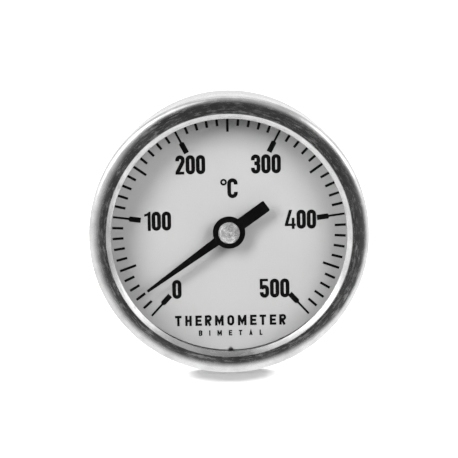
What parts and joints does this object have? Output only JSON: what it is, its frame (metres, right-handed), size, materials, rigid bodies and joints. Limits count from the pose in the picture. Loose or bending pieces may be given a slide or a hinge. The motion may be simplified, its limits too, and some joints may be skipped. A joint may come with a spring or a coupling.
{
  "type": "oven thermometer",
  "caption": "Round bimetal dial thermometer with a crimped bezel and a threaded rear stem, clamped through an oven's door or wall panel by a nut and washers.",
  "frame": {"origin": "on the dial's axis, in the plane where the oven's panel meets the door gasket, at the centre of the panel's hole", "axes": "+Y along the stem into the oven, +Z towards the top of the dial, +X to the right of someone reading the dial"},
  "size_m": [0.063, 0.1315, 0.063],
  "materials": {
    "stainless": "satin stainless steel",
    "window": "clear flat glass",
    "silicone": "matt grey silicone",
    "alloy": "satin",
    "dial": "matt pale dial paint with black print",
    "zinc": "bright zinc plate",
    "fibre": "matt compressed graphite fibre",
    "brass": "turned",
    "bimetal": "rolled strip",
    "pointer_black": "matt black paint",
    "hub": "turned face"
  },
  "bodies": {
    "housing": {"bezel_ring": "stainless", "window_glass": "window", "window_gasket": "silicone", "spacer_ring": "alloy", "dial_plate": "dial", "dial_carrier": "zinc", "case_cup": "stainless", "case_seal": "fibre", "stem_boss": "stainless", "star_washer": "zinc", "ring_nut": "zinc", "upper_bearing": "brass", "lower_bearing": "brass", "stem_tube": "stainless", "end_plug": "stainless", "coil_anchor": "brass", "bimetal_coil": "bimetal", "door_gasket": "fibre"},
    "pointer_works": {"pointer": "pointer_black", "pointer_hub": "hub", "spindle": "stainless", "spindle_collar": "brass", "coil_collar": "brass"},
    "clamp_washers": {"flat_washer": "zinc", "spring_washer": "zinc"},
    "clamp_nut": {"lock_nut": "zinc"}
  },
  "joints": [
    {"name": "pointer_turn", "type": "hinge", "parent": "housing", "child": "pointer_works", "pos_m": [0, -0.0236, 0], "axis": [0, 1, 0], "range_deg": [-12.1, 262.9], "stiffness_Nm_per_rad": 0.0002, "deforming": ["bimetal_coil"]},
    {"name": "washer_slide", "type": "slide", "parent": "housing", "child": "clamp_washers", "axis": [0, 1, 0], "range_m": [-0.0052, 0.0059]},
    {"name": "nut_turn", "type": "hinge", "parent": "clamp_washers", "child": "clamp_nut", "pos_m": [0, 0.0152, 0], "axis": [0, 1, 0], "range_deg": [-1250, 1420]}
  ],
  "couplings": [
    {"joint": "nut_turn", "follows": "washer_slide", "rad_per_m": 4188.8}
  ]
}
